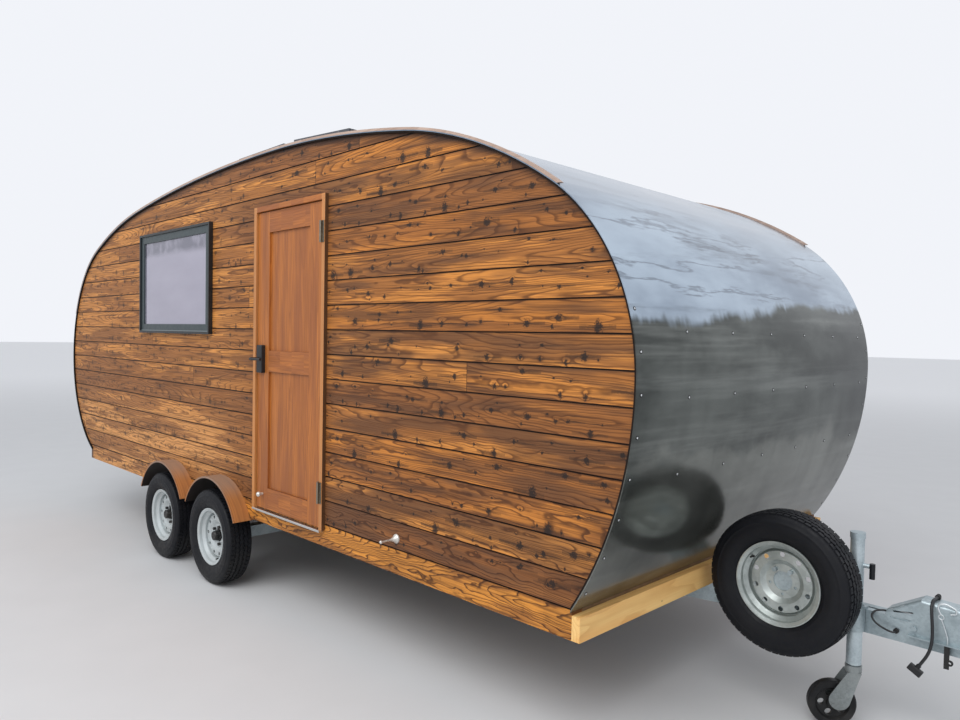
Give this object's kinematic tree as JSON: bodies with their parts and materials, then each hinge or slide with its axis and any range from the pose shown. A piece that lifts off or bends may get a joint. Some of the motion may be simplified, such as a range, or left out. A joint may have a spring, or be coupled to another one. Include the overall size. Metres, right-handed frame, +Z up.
{
  "type": "teardrop trailer",
  "caption": "Oval-bodied wooden camper trailer with a sheet metal roof, tandem axles, side door, windows, spare wheel and jockey jack.",
  "frame": {"origin": "bottom centre of the bounding box: on the ground, midway along and across", "axes": "+X forward to the coupler, +Y to the far side from the door, +Z up"},
  "size_m": [7.164, 2.5692, 2.7089],
  "materials": {
    "mill_sheet": "brushed mill finish sheet",
    "cedar_boards": "oiled knotty cedar boards",
    "floor_timber": "plywood",
    "pine": "plain softwood",
    "fender_wood": "oiled bent plywood",
    "door_wood": "oiled smooth softwood",
    "bright_aluminium": "satin",
    "steel_hardware": "satin",
    "black_plastic": "matte",
    "knob_metal": "satin",
    "window_frame": "satin grey",
    "window_glass": "tinted",
    "galvanised_steel": "hot dip galvanised",
    "tyre_rubber": "matte",
    "wheel_silver": "satin silver",
    "hub_black": "satin black",
    "jockey_rubber": "matte",
    "edging_black": "matte",
    "strip_wood": "planed softwood",
    "solar_panel": "dark cells under glass",
    "lamp_red": "red lens, black case",
    "black_rubber": "matte",
    "cable_black": "semi matte sheath"
  },
  "bodies": {
    "trailer": {"front_shell": "mill_sheet", "rear_shell": "mill_sheet", "roof_shell": "mill_sheet", "wall_door_side": "cedar_boards", "wall_far_side": "cedar_boards", "floor": "floor_timber", "front_timber": "pine", "rear_timber": "pine", "wheel_box_door_side": "floor_timber", "wheel_box_far_side": "floor_timber", "fenders_door_side": "fender_wood", "fenders_far_side": "fender_wood", "door_trim": "door_wood", "door_sill": "bright_aluminium", "door_hinges_fixed": "steel_hardware", "window_frame_door_side": "window_frame", "window_pane_door_side": "window_glass", "window_frame_far_side": "window_frame", "window_pane_far_side": "window_glass", "axle_rear": "galvanised_steel", "axle_front": "galvanised_steel", "rail_door_side": "galvanised_steel", "rail_far_side": "galvanised_steel", "crossmembers": "galvanised_steel", "jack_clamp": "galvanised_steel", "coupler_housing": "galvanised_steel", "coupler_head": "galvanised_steel", "spare_tyre": "tyre_rubber", "spare_rim": "galvanised_steel", "spare_bracket": "galvanised_steel", "wall_edgings": "edging_black", "roof_strips": "strip_wood", "door_holdback": "knob_metal", "solar_panels": "solar_panel", "tail_lamps": "lamp_red", "rubber_fittings": "black_rubber", "wiring_cable": "cable_black", "wiring_plug": "black_plastic", "brake_lead": "cable_black", "tether_hook": "steel_hardware"},
    "wheel_rear_door_side": {"tyre_rear_door_side": "tyre_rubber", "rim_rear_door_side": "wheel_silver", "hub_rear_door_side": "hub_black"},
    "wheel_rear_far_side": {"tyre_rear_far_side": "tyre_rubber", "rim_rear_far_side": "wheel_silver", "hub_rear_far_side": "hub_black"},
    "wheel_front_door_side": {"tyre_front_door_side": "tyre_rubber", "rim_front_door_side": "wheel_silver", "hub_front_door_side": "hub_black"},
    "wheel_front_far_side": {"tyre_front_far_side": "tyre_rubber", "rim_front_far_side": "wheel_silver", "hub_front_far_side": "hub_black"},
    "door": {"door_leaf": "door_wood", "door_hinges_moving": "steel_hardware", "door_lock": "black_plastic", "door_knob": "knob_metal"},
    "jack_outer": {"jack_tube": "galvanised_steel"},
    "jack_screw": {"jack_inner": "galvanised_steel"},
    "jockey_swivel": {"jockey_fork": "galvanised_steel"},
    "jockey": {"jockey_wheel": "jockey_rubber"}
  },
  "joints": [
    {"name": "wheel_rear_door_side_spin", "type": "hinge", "parent": "trailer", "child": "wheel_rear_door_side", "pos_m": [-1.328, -1.201, 0.3], "axis": [0, 1, 0], "continuous": true},
    {"name": "wheel_rear_far_side_spin", "type": "hinge", "parent": "trailer", "child": "wheel_rear_far_side", "pos_m": [-1.328, 1.201, 0.3], "axis": [0, 1, 0], "continuous": true},
    {"name": "wheel_front_door_side_spin", "type": "hinge", "parent": "trailer", "child": "wheel_front_door_side", "pos_m": [-0.572, -1.201, 0.3], "axis": [0, 1, 0], "continuous": true},
    {"name": "wheel_front_far_side_spin", "type": "hinge", "parent": "trailer", "child": "wheel_front_far_side", "pos_m": [-0.572, 1.201, 0.3], "axis": [0, 1, 0], "continuous": true},
    {"name": "door_hinge", "type": "hinge", "parent": "trailer", "child": "door", "pos_m": [0.567, -1.204, 1.45], "axis": [0, 0, 1], "range_deg": [0, 170]},
    {"name": "jack_stow", "type": "slide", "parent": "trailer", "child": "jack_outer", "axis": [0, 0, 1], "range_m": [0, 0.12]},
    {"name": "jack_raise", "type": "slide", "parent": "jack_outer", "child": "jack_screw", "axis": [0, 0, -1], "range_m": [0, 0.2]},
    {"name": "jockey_turn", "type": "hinge", "parent": "jack_screw", "child": "jockey_swivel", "pos_m": [2.91, -0.083, 0.245], "axis": [0, 0, 1], "continuous": true},
    {"name": "jockey_spin", "type": "hinge", "parent": "jockey_swivel", "child": "jockey", "pos_m": [2.84202, -0.12885, 0.096], "axis": [0.5592, -0.829, 0], "continuous": true}
  ]
}
